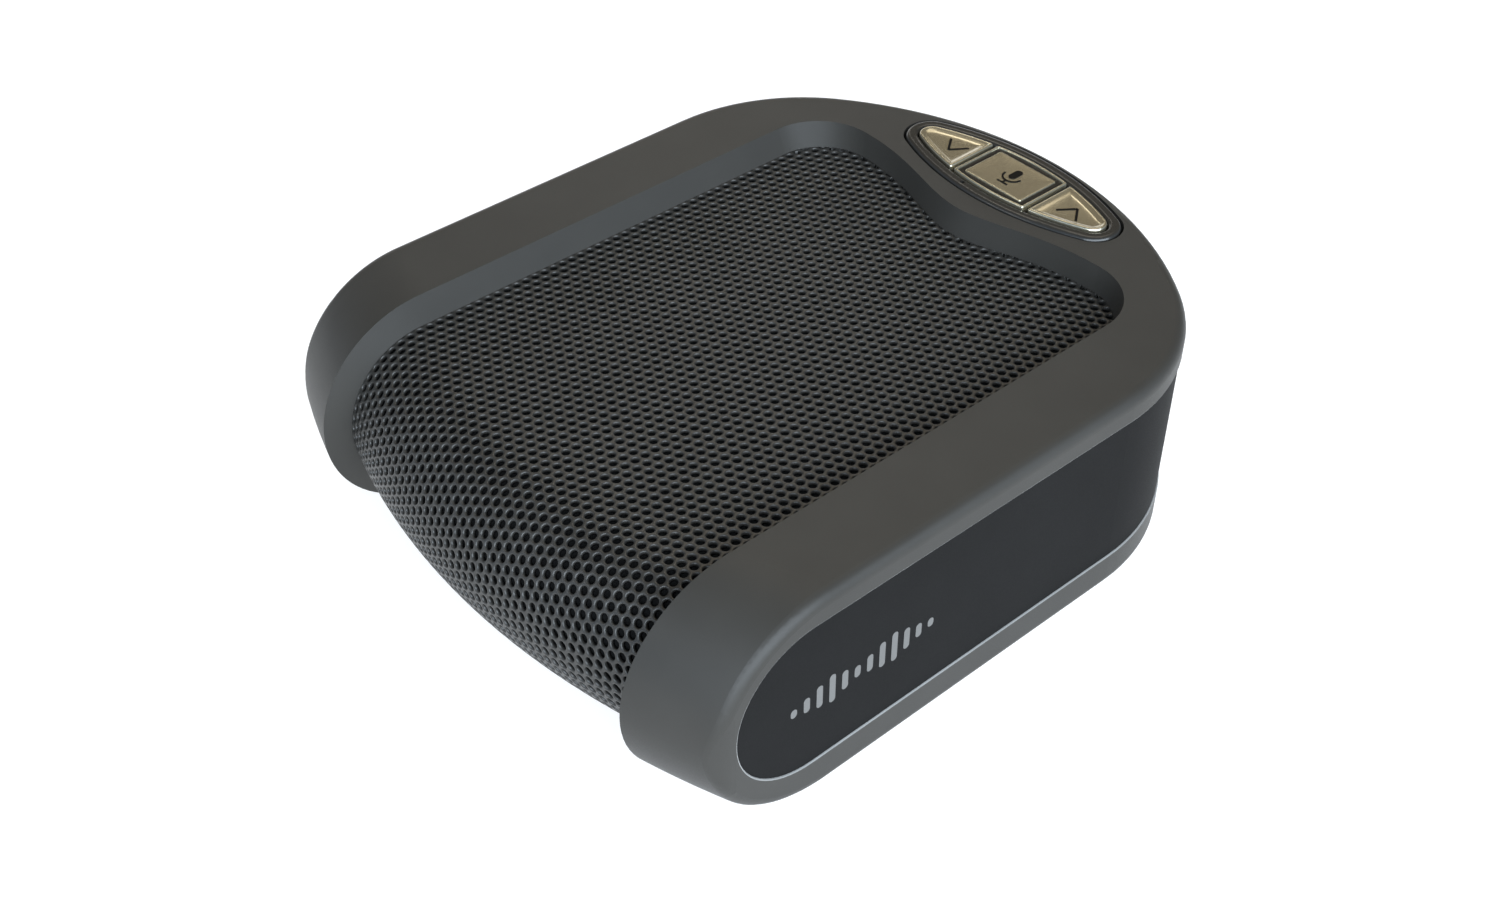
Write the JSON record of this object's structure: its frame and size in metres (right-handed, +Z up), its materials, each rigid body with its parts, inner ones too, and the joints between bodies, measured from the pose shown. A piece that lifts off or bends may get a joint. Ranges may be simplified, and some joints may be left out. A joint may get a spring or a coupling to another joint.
{
  "type": "conference speakerphone",
  "caption": "Cordless table speakerphone: flat perforated grille turning down between two rounded arms, with volume and mute keys in a lens-shaped bezel at the rear.",
  "frame": {"origin": "on the table under the unit, at the middle of its box", "axes": "+Z up, -Y to the front where the grille turns down, +Y to the rear where the keys are, +X to the right seen from the front"},
  "size_m": [0.1024, 0.1226, 0.0383],
  "materials": {
    "housing": "satin soft-touch paint",
    "cover": "fine moulded grain",
    "belt": "smooth matte",
    "grille": "satin powder paint, perforated",
    "cloth": "fine black acoustic cloth",
    "bezel": "semi gloss",
    "key_metal": "pewter metallised, brushed",
    "smoked": "smoked clear",
    "inner_plastic": "moulded",
    "plunger": "moulded",
    "switch_metal": "tinned",
    "board": "solder mask",
    "light": "clear lens",
    "rubber": "matte",
    "mic_metal": "satin",
    "foam": "open cell foam",
    "steel": "zinc plated",
    "magnet": "ferrite",
    "cone_paper": "pressed paper",
    "former": "polyimide",
    "copper": "enamelled copper wire",
    "spider_cloth": "impregnated cloth",
    "chip": "moulded package",
    "ceramic": "ceramic",
    "connector": "moulded nylon",
    "battery_wrap": "heat-sealed film",
    "wire": "insulated wire",
    "ribbon": "polyimide film",
    "screw": "black zinc",
    "label": "blank film"
  },
  "bodies": {
    "housing": {"audio_chip": "chip", "baffle_screws": "screw", "battery_connector": "connector", "battery_pack": "battery_wrap", "battery_pad": "foam", "battery_wires": "wire", "board_capacitors": "ceramic", "board_screws": "screw", "bottom_cover": "cover", "grille_cloth": "cloth", "housing_screws": "screw", "key_bezel": "bezel", "key_board": "board", "key_board_connector": "connector", "key_board_screws": "screw", "key_switches": "switch_metal", "main_board": "board", "microphone_boot": "rubber", "microphone_capsule": "mic_metal", "mute_lights": "light", "power_chip": "chip", "power_switch_case": "inner_plastic", "radio_module": "switch_metal", "rating_plate": "label", "ribbon_cable": "ribbon", "ribbon_connector": "connector", "rubber_feet": "rubber", "side_belt": "belt", "speaker_baffle": "inner_plastic", "speaker_basket": "steel", "speaker_connector": "connector", "speaker_gasket": "foam", "speaker_grille": "grille", "speaker_magnet": "magnet", "speaker_spider": "spider_cloth", "speaker_surround": "rubber", "speaker_tags": "inner_plastic", "speaker_top_plate": "steel", "speaker_wires": "wire", "speaker_yoke": "steel", "upper_housing": "housing", "usb_socket": "switch_metal", "usb_tongue": "connector"},
    "volume_down": {"volume_down_key": "key_metal", "volume_down_plunger": "plunger"},
    "volume_up": {"volume_up_key": "key_metal", "volume_up_plunger": "plunger"},
    "mute": {"mute_key_frame": "key_metal", "mute_light_ring": "smoked", "mute_key_plate": "key_metal", "mute_plunger": "plunger"},
    "power_knob": {"power_switch_knob": "inner_plastic"},
    "cone": {"speaker_cone": "cone_paper", "dust_cap": "cone_paper", "coil_former": "former", "voice_coil": "copper"}
  },
  "joints": [
    {"name": "volume_down_press", "type": "slide", "parent": "housing", "child": "volume_down", "axis": [0, 0, -1], "range_m": [0, 0.0006], "stiffness_N_per_m": 800},
    {"name": "mute_press", "type": "slide", "parent": "housing", "child": "mute", "axis": [0, 0, -1], "range_m": [0, 0.0006], "stiffness_N_per_m": 800},
    {"name": "volume_up_press", "type": "slide", "parent": "housing", "child": "volume_up", "axis": [0, 0, -1], "range_m": [0, 0.0006], "stiffness_N_per_m": 800},
    {"name": "power_slide", "type": "slide", "parent": "housing", "child": "power_knob", "axis": [1, 0, 0], "range_m": [0, 0.002]},
    {"name": "cone_travel", "type": "slide", "parent": "housing", "child": "cone", "axis": [0, 0, 1], "range_m": [-0.001, 0.001], "stiffness_N_per_m": 1500, "deforming": ["speaker_surround", "speaker_spider"]}
  ]
}
